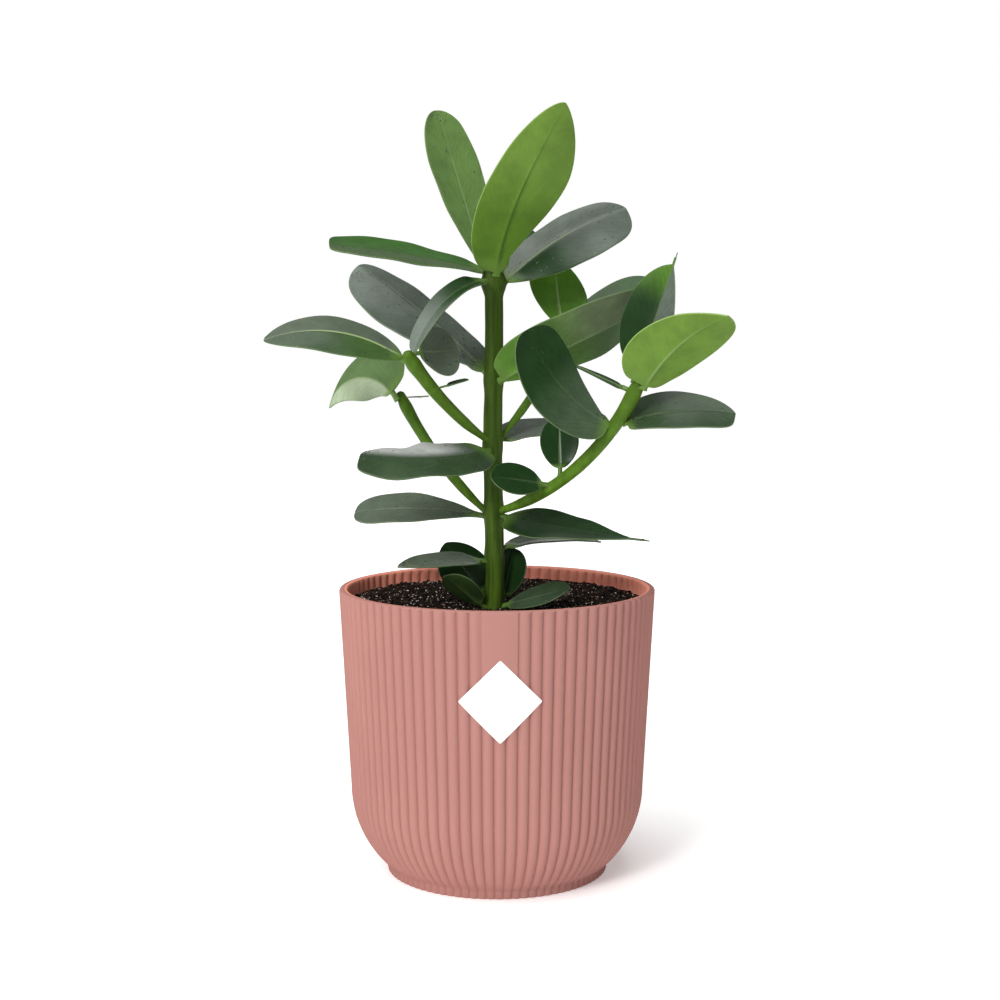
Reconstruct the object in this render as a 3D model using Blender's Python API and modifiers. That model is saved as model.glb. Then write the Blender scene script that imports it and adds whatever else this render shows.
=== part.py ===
"""A clusia growing in a round ribbed pot, modelled piece by piece.

Metres, +Z up.  The origin is the centre of the pot's flat base and -Y is the front.
The pot, its label, the soil, the stem, the side branches and every leaf are separate
closed solids.  Neighbours that touch on the real plant keep a gap of 0.3 mm.
"""
import math

import bpy
import numpy as np
from mathutils import Matrix, Vector

MM = 0.001
GAP = 0.3 * MM

# Pot: a foot, a round belly and a straight wall that opens to the rim.
POT_HEIGHT = 165 * MM
RIM_RADIUS = 91 * MM
RIM_THICKNESS = 5 * MM
RIM_BAND = 1.6 * MM
LIP_ROUNDING = 1 * MM
FOOT_RADIUS = 64 * MM
FOOT_HEIGHT = 4 * MM
BELLY_RADIUS = 60 * MM
BELLY_CENTRE_R = 24.8 * MM
BELLY_CENTRE_Z = 50 * MM
BELLY_LOW_ANGLE = 47
BELLY_STEPS = 4
INNER_STEPS = 2
POT_FLOOR = 5 * MM
RIB_COUNT = 84
RIB_DEPTH = 1.2 * MM
PANEL_RIBS = 3
PANEL_BOTTOM = 112 * MM
PANEL_FADE = 4 * MM
# The panel and the label face a little to the right of straight ahead.
FRONT_TURN = 1.2

# Label: a blank square standing on one corner, bent around the wall.
LABEL_SIDE = 31.6 * MM
LABEL_CENTRE_Z = 116 * MM
LABEL_THICKNESS = 0.6 * MM
LABEL_GRID = 8

# Soil: fills the pot to just under the rim and is a little lower at the stem.
SOIL_EDGE_Z = 157 * MM
SOIL_MIDDLE_Z = 152 * MM
SOIL_FLAT_SHARE = 0.3
SOIL_STEPS = 48

# Main stem: planted in the soil, slightly left of the pot's axis.
STEM_X = -2 * MM
STEM_BURIED_Z = 95 * MM
STEM_TOP_Z = 349 * MM
STEM_RADIUS_LOW = 5.7 * MM
STEM_RADIUS_HIGH = 5.1 * MM
STEM_NODES = {181 * MM: 0.5 * MM, 208 * MM: 0.5 * MM, 247 * MM: 0.6 * MM, 284 * MM: 0.6 * MM,
              339 * MM: 2.3 * MM}
STEM_NODE_REACH = 8 * MM
STEM_TOP_ROUNDING = 2 * MM
STEM_SIDES = 16

# Side branches, in millimetres and degrees:
# height on the stem, azimuth, rise at the foot, bend along it, length, radius low, radius high
BRANCHES = {
    "branch_left_back": (210, 145, 35, 24, 89, 2.8, 3.4),
    "branch_left_front": (251, -134, 29, 20, 78, 2.7, 4.0),
    "branch_right_front": (210, -32, 18, 47, 121, 3.1, 4.0),
    "branch_right_back": (253, 39, 42, 16, 77, 2.5, 2.4),
}
BRANCH_POINTS = 12
BRANCH_ROUNDING = 4

# A leaf's outline is base_power and tip_power in width = s**base_power * (1 - s)**tip_power.
# lobe is how far the blade's base reaches back past its stalk, and stalk is the stalk's
# length, both in millimetres.
FORMS = {
    "spoon": (0.85, 0.36, 0, 7),
    "broad": (0.42, 0.42, 4, 5),
    "blunt": (0.30, 0.36, 5, 5),
    "paddle": (0.34, 0.27, 6, 5),
    "oval": (0.60, 0.50, 2, 4),
    "pointed": (0.60, 0.70, 0, 6),
    "drawn": (0.40, 0.85, 3, 5),
    "needle": (0.45, 1.80, 2, 7),
    "bract": (0.70, 0.50, 0, 3),
}

# Leaves, in millimetres and degrees.  place is the height on the main stem, or the share of a
# branch's length.  azimuth is 0 to the right and 90 to the back, rise is the angle above
# level at the stalk, and bend and swerve are what the leaf turns up and sideways along its
# length.  roll turns the blade about its midrib, twist adds to it towards the tip, and fold
# raises both halves.
LEAF_COLUMNS = (
    "name", "host", "place", "azimuth", "rise", "bend", "swerve",
    "length", "width", "roll", "twist", "fold", "form",
)
LEAVES = [
    ("leaf_top_upright_back", "main_stem", 347, 136, 67, 0, 0, 93, 34, -12, 0, 0, "spoon"),
    ("leaf_top_upright_front", "main_stem", 346, -74, 62, 0, 88, 97, 41, -4, -72, 0, "broad"),
    ("leaf_top_right", "main_stem", 341, 23, 42, -26, 0, 80, 39, 42, 0, -22, "spoon"),
    ("leaf_top_left", "main_stem", 346, -171, 14, -10, 0, 83, 38, -20, 0, 0, "broad"),
    ("leaf_top_front", "main_stem", 340, -127, -4, -56, 0, 72, 17, -24, 32, 8, "broad"),
    ("leaf_top_rear", "main_stem", 341, 76, 36, -12, 0, 54, 28, 0, 0, 0, "spoon"),
    ("leaf_upper_left", "main_stem", 290, 155, 43, -13, 0, 96, 38, -28, 0, -18, "blunt"),
    ("leaf_upper_right", "main_stem", 284, -52, 23, 4, 87, 96, 42, -50, 0, 6, "paddle"),
    ("leaf_left_outer", "branch_left_front", 0.98, -170, 35, -56, 0, 71, 35, -35, 0, -11, "pointed"),
    ("leaf_left_inner", "branch_left_front", 0.94, 41, 2, 0, 0, 25, 29, 68, 0, 0, "oval"),
    ("bract_left_inner", "branch_left_front", 0.61, 15, 14, 0, 0, 13, 7, 10, 0, 0, "bract"),
    ("bract_left_outer", "branch_left_front", 0.62, -165, -3, 0, 0, 9, 5, 0, 0, 0, "bract"),
    ("leaf_left_pale", "branch_left_back", 0.99, 163, 57, -136, 0, 49, 29, 60, 84, 20, "drawn"),
    ("leaf_right_small_upright", "branch_right_front", 0.36, 95, 76, 0, 0, 27, 22, -5, 0, 0, "oval"),
    ("leaf_right_small_front", "branch_right_front", 0.28, -160, 12, -6, 0, 29, 22, -50, 0, 0, "oval"),
    ("leaf_right_front", "branch_right_front", 0.72, -162, 28, 40, 0, 64, 38, -65, 0, 0, "spoon"),
    ("leaf_right_outer", "branch_right_front", 0.78, -8, 19, -29, 0, 54, 32, 38, 0, 0, "broad"),
    ("leaf_right_light", "branch_right_front", 0.98, -41, 54, -38, 0, 60, 37, -38, 0, 10, "blunt"),
    ("leaf_right_upright", "branch_right_front", 0.97, -6, 72, 0, 0, 66, 32, 62, 0, 0, "drawn"),
    ("leaf_rear_thin", "branch_right_front", 0.91, 157, 22, 0, 0, 30, 12, 4, 0, 0, "oval"),
    ("leaf_rear_upright", "branch_right_back", 0.98, 122, 78, 0, 0, 39, 34, -25, 0, 0, "broad"),
    ("leaf_rear_right", "branch_right_back", 0.98, 27, 37, -12, 0, 60, 34, 25, 0, 0, "broad"),
    ("leaf_middle_left", "main_stem", 244, -118, -7, 14, -66, 80, 40, -25, 0, -12, "blunt"),
    ("leaf_middle_right", "main_stem", 249, 60, 17, -30, -68, 70, 28, 16, 0, 0, "broad"),
    ("leaf_lower_left", "main_stem", 206, 170, 9, -18, 0, 69, 33, -26, 0, 0, "spoon"),
    ("leaf_lower_right", "main_stem", 206, -26, -9, 6, 0, 83, 36, 18, 0, 0, "needle"),
    ("leaf_low_right", "main_stem", 187, 26, 14, -28, 0, 59, 26, 4, 0, 0, "broad"),
    ("leaf_low_left", "main_stem", 180, -153, 8, -16, 0, 47, 24, -14, 0, 0, "spoon"),
    ("leaf_base_back_left", "main_stem", 158, 143, 46, 0, 0, 35, 31, -32, 0, 0, "pointed"),
    ("leaf_base_back_right", "main_stem", 156, 46, 72, 0, 0, 27, 24, 12, 0, 0, "oval"),
    ("leaf_base_front_left", "main_stem", 154, -147, 38, 0, 0, 28, 20, 28, 0, 0, "oval"),
    ("leaf_base_front_right", "main_stem", 154, -22, 17, 0, 0, 38, 20, 32, 0, 0, "oval"),
]
STALK_RADIUS = 1.3 * MM
STALK_CORNER = 1.65 * MM
BLADE_THICKNESS = 1.2 * MM
TIP_HALF_WIDTH = 0.9 * MM
BLADE_ROWS = (0, 0.05, 0.14, 0.28, 0.44, 0.6, 0.75, 0.87, 0.95, 0.988, 1)
LINE_STEPS = 48

# Colours of the materials, as linear red, green and blue, with the roughness.
COLOURS = {
    "pot": ((0.52, 0.25, 0.21), 0.55),
    "label": ((0.86, 0.86, 0.85), 0.45),
    "soil": ((0.02, 0.014, 0.01), 0.95),
    "stem": ((0.11, 0.2, 0.035), 0.5),
    "leaf": ((0.035, 0.1, 0.03), 0.35),
    "young leaf": ((0.2, 0.36, 0.06), 0.45),
}
YOUNG_LEAVES = ("leaf_top_upright_front", "leaf_right_light")


def clear_scene():
    for old in list(bpy.data.objects):
        bpy.data.objects.remove(old, do_unlink=True)


def new_collection(name):
    collection = bpy.data.collections.new(name)
    bpy.context.scene.collection.children.link(collection)
    return collection


def add_object(name, mesh, collection):
    obj = bpy.data.objects.new(name, mesh)
    collection.objects.link(obj)
    return obj


def give_material(obj, kind):
    colour, roughness = COLOURS[kind]
    material = bpy.data.materials.new(obj.name)
    material.use_nodes = True
    shader = material.node_tree.nodes["Principled BSDF"]
    shader.inputs["Base Color"].default_value = (*colour, 1)
    shader.inputs["Roughness"].default_value = roughness
    shader.inputs["Metallic"].default_value = 0
    obj.data.materials.clear()
    obj.data.materials.append(material)


def evaluated_mesh(obj):
    """The object's mesh with its modifiers done, as a mesh of its own."""
    depsgraph = bpy.context.evaluated_depsgraph_get()
    mesh = bpy.data.meshes.new_from_object(obj.evaluated_get(depsgraph))
    return mesh


def turn_profile(name, points, sides, collection):
    """Turn a list of (radius, height) points about Z with a Screw modifier."""
    mesh = bpy.data.meshes.new(name)
    edges = [(i, i + 1) for i in range(len(points) - 1)]
    mesh.from_pydata([(r, 0, z) for r, z in points], edges, [])
    obj = add_object(name, mesh, collection)
    screw = obj.modifiers.new("Turn", "SCREW")
    screw.steps = sides
    screw.render_steps = sides
    screw.use_merge_vertices = True
    screw.merge_threshold = 0.00005
    screw.use_smooth_shade = False
    return obj


# Pot

def belly_point(angle, inset=0.0):
    """A point of the belly's arc, angle degrees below level, inset into the wall."""
    radius = BELLY_RADIUS - inset
    a = math.radians(angle)
    return BELLY_CENTRE_R + radius * math.cos(a), BELLY_CENTRE_Z - radius * math.sin(a)


def wall_radius(z):
    """Radius of the rib crests on the straight wall at height z."""
    belly_r = BELLY_CENTRE_R + BELLY_RADIUS
    share = (z - BELLY_CENTRE_Z) / (POT_HEIGHT - BELLY_CENTRE_Z)
    return belly_r + (RIM_RADIUS - belly_r) * share


def pot_profile():
    """Outer side from the rim down, then the flat base."""
    outer = [(RIM_RADIUS - RIM_THICKNESS / 2, POT_HEIGHT)]
    heights = (POT_HEIGHT - LIP_ROUNDING, POT_HEIGHT - RIM_BAND, POT_HEIGHT - RIM_BAND - RIB_DEPTH,
               PANEL_BOTTOM + PANEL_FADE, PANEL_BOTTOM - PANEL_FADE)
    for z in heights:
        outer.append((wall_radius(z), z))
    for step in range(BELLY_STEPS + 1):
        outer.append(belly_point(BELLY_LOW_ANGLE * step / BELLY_STEPS))
    outer.append((FOOT_RADIUS, FOOT_HEIGHT))
    outer.append((FOOT_RADIUS, 0))
    outer.append((0, 0))
    return outer


def pot_inner_profile():
    """Inner side from the middle of the floor up to the lip."""
    inner = [(0, POT_FLOOR), (FOOT_RADIUS - RIM_THICKNESS, POT_FLOOR)]
    for step in range(INNER_STEPS, -1, -1):
        inner.append(belly_point(BELLY_LOW_ANGLE * step / (INNER_STEPS + 1), RIM_THICKNESS))
    inner.append((RIM_RADIUS - RIM_THICKNESS, POT_HEIGHT - LIP_ROUNDING))
    return inner


def flute_pot(mesh):
    """Press the grooves between the ribs, and leave the rim and the front panel plain."""
    half_pitch = 180 / RIB_COUNT
    for vertex in mesh.vertices:
        x, y, z = vertex.co
        radius = math.hypot(x, y)
        column = round(math.degrees(math.atan2(x, -y)) / half_pitch)
        on_groove = column % 2 == 1
        on_panel = abs(column) < PANEL_RIBS and z > PANEL_BOTTOM
        on_ribs = z < POT_HEIGHT - RIM_BAND - GAP
        if on_groove and on_ribs and not on_panel and radius > mid_wall_radius(z):
            shrink = (radius - RIB_DEPTH) / radius
            vertex.co.x *= shrink
            vertex.co.y *= shrink


def mid_wall_radius(z):
    """The radius half way into the wall at height z, between its outer and inner sides."""
    if z >= BELLY_CENTRE_Z:
        return wall_radius(z) - RIM_THICKNESS / 2
    middle = BELLY_RADIUS - RIM_THICKNESS / 2
    depth = BELLY_CENTRE_Z - z
    return BELLY_CENTRE_R + math.sqrt(middle * middle - depth * depth)


def build_pot(collection):
    points = pot_profile() + pot_inner_profile()
    points.append(points[0])
    turned = turn_profile("pot_turned", points, 2 * RIB_COUNT, collection)
    # A crest lies straight ahead, at -Y, so the profile starts there.
    turned.rotation_euler.z = -math.pi / 2
    bpy.context.view_layer.update()
    mesh = evaluated_mesh(turned)
    mesh.transform(turned.matrix_world)
    bpy.data.objects.remove(turned)
    flute_pot(mesh)
    mesh.transform(Matrix.Rotation(math.radians(FRONT_TURN), 4, "Z"))
    pot = add_object("pot", mesh, collection)
    pot.data.shade_smooth()
    pot.data.set_sharp_from_angle(angle=math.radians(30))
    give_material(pot, "pot")
    return pot


def build_label(collection):
    """A flat grid turned onto its corner, bent around the wall and thickened outwards."""
    bpy.ops.mesh.primitive_grid_add(
        x_subdivisions=LABEL_GRID, y_subdivisions=LABEL_GRID, size=LABEL_SIDE)
    label = bpy.context.object
    label.name = "label"
    turn = math.radians(45)
    for vertex in label.data.vertices:
        x = vertex.co.x * math.cos(turn) - vertex.co.y * math.sin(turn)
        up = vertex.co.x * math.sin(turn) + vertex.co.y * math.cos(turn)
        z = LABEL_CENTRE_Z + up
        radius = wall_radius(z) + GAP
        angle = x / radius + math.radians(FRONT_TURN)
        vertex.co = (radius * math.sin(angle), -radius * math.cos(angle), z)
    solidify = label.modifiers.new("Thickness", "SOLIDIFY")
    solidify.thickness = LABEL_THICKNESS
    solidify.offset = 1
    move_to(label, collection)
    give_material(label, "label")
    return label


def move_to(obj, collection):
    for old in list(obj.users_collection):
        old.objects.unlink(obj)
    collection.objects.link(obj)


# Soil and stem

def stem_radius(z):
    share = (z - SOIL_MIDDLE_Z) / (STEM_TOP_Z - SOIL_MIDDLE_Z)
    share = min(max(share, 0), 1)
    radius = STEM_RADIUS_LOW + (STEM_RADIUS_HIGH - STEM_RADIUS_LOW) * share
    for node, swelling in STEM_NODES.items():
        radius += swelling * max(0, 1 - abs(z - node) / STEM_NODE_REACH)
    return radius


def build_soil(collection, cutters):
    """A plug of soil that follows the inside of the pot, with a hole for the stem."""
    inner = pot_inner_profile()
    wall = [(r - GAP, z) for r, z in inner[2:-1]]
    floor_z = POT_FLOOR + GAP
    edge_radius = wall_radius(SOIL_EDGE_Z) - RIM_THICKNESS - 2 * GAP
    points = [(0, SOIL_MIDDLE_Z), (SOIL_FLAT_SHARE * edge_radius, SOIL_MIDDLE_Z), (edge_radius, SOIL_EDGE_Z)]
    points += wall[::-1]
    points += [(FOOT_RADIUS - RIM_THICKNESS - GAP, floor_z), (0, floor_z)]
    soil = turn_profile("soil", points, SOIL_STEPS, collection)

    depth = 2 * (POT_HEIGHT - STEM_BURIED_Z)
    bpy.ops.mesh.primitive_cylinder_add(
        vertices=STEM_SIDES * 2, radius=STEM_RADIUS_LOW + 2 * GAP, depth=depth,
        location=(STEM_X, 0, STEM_BURIED_Z - GAP + depth / 2))
    cutter = bpy.context.object
    cutter.name = "stem_hole_cutter"
    cutter.hide_render = True
    cutter.display_type = "WIRE"
    move_to(cutter, cutters)
    hole = soil.modifiers.new("Stem hole", "BOOLEAN")
    hole.operation = "DIFFERENCE"
    hole.object = cutter
    give_material(soil, "soil")
    return soil


def build_main_stem(collection):
    shoulder = STEM_TOP_Z - STEM_TOP_ROUNDING
    heights = {STEM_BURIED_Z, SOIL_MIDDLE_Z, shoulder}
    for node in STEM_NODES:
        heights.update((node - STEM_NODE_REACH, node, node + STEM_NODE_REACH))
    heights = [z for z in sorted(heights, reverse=True) if z <= shoulder]
    points = [(0, STEM_TOP_Z), (STEM_RADIUS_HIGH - STEM_TOP_ROUNDING, STEM_TOP_Z)]
    points += [(stem_radius(z), z) for z in heights]
    points += [(0, STEM_BURIED_Z)]
    stem = turn_profile("main_stem", points, STEM_SIDES, collection)
    stem.location.x = STEM_X
    give_material(stem, "stem")
    return stem


# Lines that leaves and branches follow

def heading(azimuth, rise):
    """Unit vector for an azimuth and a rise in degrees."""
    a, e = math.radians(azimuth), math.radians(rise)
    return np.array([math.cos(e) * math.cos(a), math.cos(e) * math.sin(a), math.sin(e)])


class BentLine:
    """A line from start whose azimuth and rise change evenly along its length."""

    def __init__(self, start, azimuth, rise, bend, swerve, length):
        self.azimuth, self.rise, self.bend, self.swerve = azimuth, rise, bend, swerve
        step = length / LINE_STEPS
        self.points = [np.array(start, float)]
        for i in range(LINE_STEPS):
            self.points.append(self.points[-1] + step * self.direction((i + 0.5) / LINE_STEPS))

    def direction(self, share):
        return heading(self.azimuth + self.swerve * share, self.rise + self.bend * share)

    def point(self, share):
        place = min(max(share, 0), 1) * LINE_STEPS
        low = min(int(place), LINE_STEPS - 1)
        return self.points[low] + (self.points[low + 1] - self.points[low]) * (place - low)


def start_beside(point, axis, radius, direction, own_radius):
    """Where a stalk or branch starts, so that its flat end clears the host by the gap."""
    outward = direction - axis * float(direction @ axis)
    outward /= np.linalg.norm(outward)
    lean = math.sqrt(max(0, 1 - float(direction @ outward) ** 2))
    return point + outward * (radius + GAP + own_radius * lean)


def host_at(host, place, branch_lines):
    """Point, axis and radius of the main stem or of a branch."""
    if host == "main_stem":
        z = place * MM
        return np.array([STEM_X, 0, z]), np.array([0, 0, 1.0]), stem_radius(z)
    low, high = BRANCHES[host][-2:]
    line = branch_lines[host]
    return line.point(place), line.direction(place), (low + (high - low) * place) * MM


def branch_line(name):
    height, azimuth, rise, bend, length, low, _ = BRANCHES[name]
    point, axis, radius = host_at("main_stem", height, {})
    start = start_beside(point, axis, radius, heading(azimuth, rise), low * MM)
    return BentLine(start, azimuth, rise, bend, 0, length * MM)


def build_branch(name, line, collection):
    """A tube that grows thicker towards its leafy end."""
    low, high = BRANCHES[name][-2:]
    curve = bpy.data.curves.new(name, "CURVE")
    curve.dimensions = "3D"
    curve.bevel_depth = MM
    curve.bevel_resolution = BRANCH_ROUNDING
    curve.use_fill_caps = True
    spline = curve.splines.new("POLY")
    spline.points.add(BRANCH_POINTS - 1)
    for i, point in enumerate(spline.points):
        share = i / (BRANCH_POINTS - 1)
        point.co = (*line.point(share), 1)
        point.radius = low + (high - low) * share
    branch = add_object(name, curve, collection)
    give_material(branch, "stem")
    return branch


# Leaves

def half_width(s, base_power, tip_power, width):
    """Half the blade's width at share s of its length."""
    peak = base_power / (base_power + tip_power)
    top = peak ** base_power * (1 - peak) ** tip_power
    shape = s ** base_power * (1 - s) ** tip_power / top if 0 < s < 1 else 0
    return max(width / 2 * shape, TIP_HALF_WIDTH)


def leaf_frame(line, share, roll):
    """Forward, side and upper directions of a leaf at a share of its line."""
    forward = line.direction(share)
    azimuth = math.radians(line.azimuth + line.swerve * share)
    level_side = np.array([-math.sin(azimuth), math.cos(azimuth), 0])
    upper = np.cross(forward, level_side)
    r = math.radians(roll)
    side = level_side * math.cos(r) + upper * math.sin(r)
    return forward, side, upper * math.cos(r) - level_side * math.sin(r)


def leaf_rows(leaf):
    """Each row's share of the line, its share of the blade and its half width."""
    base_power, tip_power, _, stalk = FORMS[leaf["form"]]
    whole = stalk + leaf["length"]
    rows = [(0, 0, STALK_RADIUS), (0.7 * stalk / whole, 0, STALK_RADIUS)]
    for s in BLADE_ROWS:
        width = half_width(s, base_power, tip_power, leaf["width"] * MM)
        width = max(width, STALK_RADIUS) if s == 0 else width
        rows.append(((stalk + leaf["length"] * s) / whole, s, width))
    return rows


def build_leaf(leaf, branch_lines, collection):
    """A stalk and blade in one piece: a grid shaped along a line, then thickened."""
    _, _, lobe, stalk = FORMS[leaf["form"]]
    point, axis, radius = host_at(leaf["host"], leaf["place"], branch_lines)
    towards = heading(leaf["azimuth"], leaf["rise"])
    start = start_beside(point, axis, radius, towards, STALK_CORNER)
    line = BentLine(start, leaf["azimuth"], leaf["rise"], leaf["bend"], leaf["swerve"],
                    (stalk + leaf["length"]) * MM)
    rows = leaf_rows(leaf)
    bpy.ops.mesh.primitive_grid_add(x_subdivisions=len(rows) - 1, y_subdivisions=2, size=2)
    obj = bpy.context.object
    obj.name = leaf["name"]
    thick = obj.vertex_groups.new(name="thickness")
    fold = math.radians(leaf["fold"])
    for vertex in obj.data.vertices:
        row = round((vertex.co.x + 1) / 2 * (len(rows) - 1))
        across = round(vertex.co.y)
        share, s, width = rows[row]
        forward, side, upper = leaf_frame(line, share, leaf["roll"] + leaf["twist"] * s)
        place = line.point(share) + side * across * width * math.cos(fold)
        place += upper * abs(across) * width * math.sin(fold)
        if row > 2:
            place -= forward * abs(across) * lobe * MM * (1 - s) ** 4
        vertex.co = Vector(place)
        weight = 1 if row < 2 else BLADE_THICKNESS / (2 * STALK_RADIUS)
        thick.add([vertex.index], weight, "REPLACE")
    solidify = obj.modifiers.new("Thickness", "SOLIDIFY")
    solidify.thickness = 2 * STALK_RADIUS
    solidify.offset = 0
    solidify.vertex_group = thick.name
    move_to(obj, collection)
    give_material(obj, "young leaf" if leaf["name"] in YOUNG_LEAVES else "leaf")
    return obj


def main():
    clear_scene()
    plant = new_collection("potted_clusia")
    cutters = new_collection("cutters")
    build_pot(plant)
    build_label(plant)
    build_soil(plant, cutters)
    build_main_stem(plant)
    branch_lines = {name: branch_line(name) for name in BRANCHES}
    for name, line in branch_lines.items():
        build_branch(name, line, plant)
    for row in LEAVES:
        build_leaf(dict(zip(LEAF_COLUMNS, row)), branch_lines, plant)


main()
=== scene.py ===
# %% [markdown]
# A clusia in a ribbed planter.  The plant is a young, upright shrub with thick waxy leaves; the
# planter is one moulded pot of matt plastic.  The measured model gives every piece its place and
# size, and this lesson gives each piece the shape and finish that the eye expects.

# %% Open the measured model
import math
import random

import bmesh
import bpy
from mathutils import Matrix, Vector, noise


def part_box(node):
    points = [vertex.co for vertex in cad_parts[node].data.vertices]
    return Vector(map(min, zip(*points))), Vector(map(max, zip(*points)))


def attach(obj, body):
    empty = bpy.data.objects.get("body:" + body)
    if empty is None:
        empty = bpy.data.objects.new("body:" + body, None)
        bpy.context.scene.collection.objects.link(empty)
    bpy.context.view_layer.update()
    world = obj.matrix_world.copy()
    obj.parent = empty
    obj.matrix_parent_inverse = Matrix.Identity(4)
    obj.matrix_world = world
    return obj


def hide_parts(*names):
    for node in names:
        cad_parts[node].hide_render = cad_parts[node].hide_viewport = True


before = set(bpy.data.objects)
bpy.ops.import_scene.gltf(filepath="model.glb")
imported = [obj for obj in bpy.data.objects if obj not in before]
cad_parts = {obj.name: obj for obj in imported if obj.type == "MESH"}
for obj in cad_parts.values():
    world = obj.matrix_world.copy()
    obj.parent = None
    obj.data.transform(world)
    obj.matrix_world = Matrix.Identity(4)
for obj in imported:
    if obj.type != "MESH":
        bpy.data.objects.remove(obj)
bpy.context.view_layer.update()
MM = 0.001

# %% [markdown]
# Every piece ends the same way: its bmesh becomes an object at the origin, it takes one finish,
# it is shaded smooth except where faces meet sharply, and it stands for its measured solid.  One
# helper does that for all of them, so each later cell only has to think about shape.

# %% Put a finished shape into the scene
plant = bpy.data.collections.new("potted_clusia_looks")
bpy.context.scene.collection.children.link(plant)


def put_in_scene(name, bm, finish, node=None, sharp=50):
    """Turn a bmesh into a finished piece of the plant or its pot."""
    mesh = bpy.data.meshes.new(name)
    bm.to_mesh(mesh)
    bm.free()
    mesh.shade_smooth()
    mesh.set_sharp_from_angle(angle=math.radians(sharp))
    mesh.materials.append(finish)
    piece = bpy.data.objects.new(name, mesh)
    plant.objects.link(piece)
    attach(piece, "root")
    if node:
        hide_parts(node)
    return piece


def smooth_step(low, high, x):
    """A soft step from 0 at low to 1 at high; low may lie above high."""
    t = min(max((x - low) / (high - low), 0.0), 1.0)
    return t * t * (3 - 2 * t)


# %% [markdown]
# Finishes are made of nodes.  A few small helpers keep the cells that mix colours readable: one
# makes a node, one does arithmetic, one blends two colours and one turns a value into a mask.

# %% Helpers for finishes
class Finish:
    """A material with a Principled shader, and short ways to add nodes to it."""

    def __init__(self, name, roughness, specular=0.5, coat=0.0, coat_roughness=0.1):
        self.material = bpy.data.materials.new(name)
        self.material.use_nodes = True
        self.tree = self.material.node_tree
        self.shader = self.tree.nodes["Principled BSDF"]
        self.shader.inputs["Roughness"].default_value = roughness
        self.shader.inputs["Specular IOR Level"].default_value = specular
        self.shader.inputs["Coat Weight"].default_value = coat
        self.shader.inputs["Coat Roughness"].default_value = coat_roughness

    def node(self, kind, **settings):
        made = self.tree.nodes.new(kind)
        for key, value in settings.items():
            setattr(made, key, value)
        return made

    def join(self, source, target):
        if isinstance(source, (int, float, tuple)):
            target.default_value = source
        else:
            self.tree.links.new(source, target)

    def math(self, operation, a, b=0.0):
        made = self.node("ShaderNodeMath", operation=operation)
        self.join(a, made.inputs[0])
        self.join(b, made.inputs[1])
        return made.outputs[0]

    def blend(self, amount, a, b):
        made = self.node("ShaderNodeMix", data_type="RGBA")
        self.join(amount, made.inputs[0])
        self.join(a, made.inputs[6])
        self.join(b, made.inputs[7])
        return made.outputs[2]

    def scaled(self, colour, factor):
        """A colour made lighter or darker by a factor."""
        made = self.node("ShaderNodeVectorMath", operation="SCALE")
        self.join(colour, made.inputs[0])
        self.join(factor, made.inputs["Scale"])
        return made.outputs[0]

    def mask(self, value, low, high, first=0.0, last=1.0):
        """A soft step from first to last as value goes from low to high."""
        made = self.node("ShaderNodeMapRange", interpolation_type="SMOOTHSTEP")
        for source, target in zip((value, low, high, first, last), made.inputs):
            self.join(source, target)
        return made.outputs[0]

    def noise(self, where, scale, detail=2.0, roughness=0.5):
        made = self.node("ShaderNodeTexNoise")
        self.join(where, made.inputs["Vector"])
        self.join(scale, made.inputs["Scale"])
        self.join(detail, made.inputs["Detail"])
        self.join(roughness, made.inputs["Roughness"])
        return made.outputs[0]

    def object_place(self):
        return self.node("ShaderNodeTexCoord").outputs["Object"]

    def split(self, vector):
        made = self.node("ShaderNodeSeparateXYZ")
        self.join(vector, made.inputs[0])
        return made.outputs

    def painted(self, name):
        """A value or colour that was stored on the piece itself."""
        return self.node("ShaderNodeAttribute", attribute_name=name, attribute_type="GEOMETRY")

    def bump(self, height, strength, distance):
        made = self.node("ShaderNodeBump")
        self.join(height, made.inputs["Height"])
        self.join(strength, made.inputs["Strength"])
        self.join(distance, made.inputs["Distance"])
        self.join(made.outputs[0], self.shader.inputs["Normal"])

    def colour(self, source):
        self.join(source, self.shader.inputs["Base Color"])


# %% [markdown]
# The pot is injection-moulded in one piece: a foot, a round belly, a straight wall that widens to
# the rim, and narrow grooves that part 84 rounded ribs.  A wall could be cut rib by rib, but all
# of it repeats around one axis, so a fine ring is drawn along the profile instead.  Fourteen
# columns to a rib leave room to press each groove afterwards.

# %% Sizes of the pot
RIM_R, RIM_Z, LIP = 91 * MM, 165 * MM, 5 * MM
BELLY_R, BELLY_MIDDLE_R, BELLY_Z = 60 * MM, 24.8 * MM, 50 * MM
FOOT_R, FOOT_Z = 64 * MM, 4 * MM
RIBS, RIB_COLUMNS = 84, 14
PANEL_Z, PANEL_HALF = 112 * MM, 1.51
FRONT_TURN = math.radians(1.2)
SEAT = 0.3 * MM  # how far off one piece sits from the piece that carries it
print("pot", round(2 * RIM_R / MM), "mm across the rim,", round(RIM_Z / MM), "mm tall")


def wall_r(z):
    """Radius of the rib crests on the straight wall."""
    low = BELLY_MIDDLE_R + BELLY_R
    return low + (RIM_R - low) * (z - BELLY_Z) / (RIM_Z - BELLY_Z)


def belly(angle, inset=0.0):
    a = math.radians(angle)
    r = BELLY_R - inset
    return BELLY_MIDDLE_R + r * math.cos(a), BELLY_Z - r * math.sin(a)


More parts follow.
